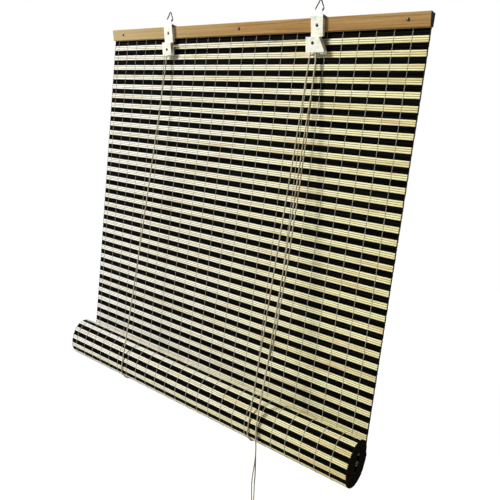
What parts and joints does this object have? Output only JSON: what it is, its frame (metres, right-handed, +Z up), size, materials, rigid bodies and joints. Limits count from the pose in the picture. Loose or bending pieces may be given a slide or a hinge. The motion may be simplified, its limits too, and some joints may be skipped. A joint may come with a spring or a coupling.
{
  "type": "bamboo roll up blind",
  "caption": "Woven splint roll up blind, half rolled up, with a wooden headrail, two hanging rings, cord pulleys, a roller cord lock and pull cords.",
  "frame": {"origin": "on the line through the eyes of the two hanging rings, at the middle of the mat's width", "axes": "+Z up along the hanging mat, +Y back to the wall, +X to the right as seen from the room"},
  "size_m": [0.605, 0.072, 0.7554],
  "materials": {
    "mat": "satin, woven splints in bands of black stain and natural bamboo",
    "batten": "bare wood",
    "thread": "twisted thread",
    "rail_wood": "lightly varnished wood",
    "galvanised": "galvanised sheet steel",
    "steel": "plated steel",
    "wire": "plated steel wire",
    "pulley": "turned brass",
    "roller": "knurled steel",
    "cord": "braided cord"
  },
  "bodies": {
    "blind": {"mat_hanging": "mat", "mat_roll": "mat", "bottom_batten": "batten", "warp_threads": "thread", "headrail": "rail_wood", "back_slat": "rail_wood", "rail_nails": "steel", "bracket_left": "galvanised", "lock_bracket": "galvanised", "bracket_screws": "steel", "pulley_pin_left": "steel", "pulley_pin_right": "steel", "cord_staples": "steel", "anchor_knot_left": "cord", "anchor_knot_right": "cord", "lift_cord_left": "cord", "lift_cord_right": "cord", "pull_cord_left": "cord", "pull_cord_right": "cord", "cord_coil_left": "cord", "cord_coil_right": "cord", "end_knot_left": "cord", "end_knot_right": "cord"},
    "ring_left": {"hanging_ring_left": "wire"},
    "ring_right": {"hanging_ring_right": "wire"},
    "pulley_wheel_left": {"pulley_left": "pulley"},
    "pulley_wheel_right": {"pulley_right": "pulley"},
    "lock_cam": {"lock_roller": "roller"}
  },
  "joints": [
    {"name": "ring_left_swing", "type": "hinge", "parent": "blind", "child": "ring_left", "pos_m": [-0.1485, 0, -0.0096], "axis": [1, 0, 0], "range_deg": [-115, 138]},
    {"name": "ring_right_swing", "type": "hinge", "parent": "blind", "child": "ring_right", "pos_m": [0.1435, 0, -0.0096], "axis": [1, 0, 0], "range_deg": [-115, 138]},
    {"name": "pulley_left_spin", "type": "hinge", "parent": "blind", "child": "pulley_wheel_left", "pos_m": [-0.1495, 0.00288, -0.05476], "axis": [0, -0.9749, -0.2228], "continuous": true},
    {"name": "pulley_right_spin", "type": "hinge", "parent": "blind", "child": "pulley_wheel_right", "pos_m": [0.1391, 0.00219, -0.05174], "axis": [0, -0.9749, -0.2228], "continuous": true},
    {"name": "lock_roller_slide", "type": "slide", "parent": "blind", "child": "lock_cam", "axis": [-0.4254, -0.2017, 0.8823], "range_m": [0, 0.0125]}
  ]
}
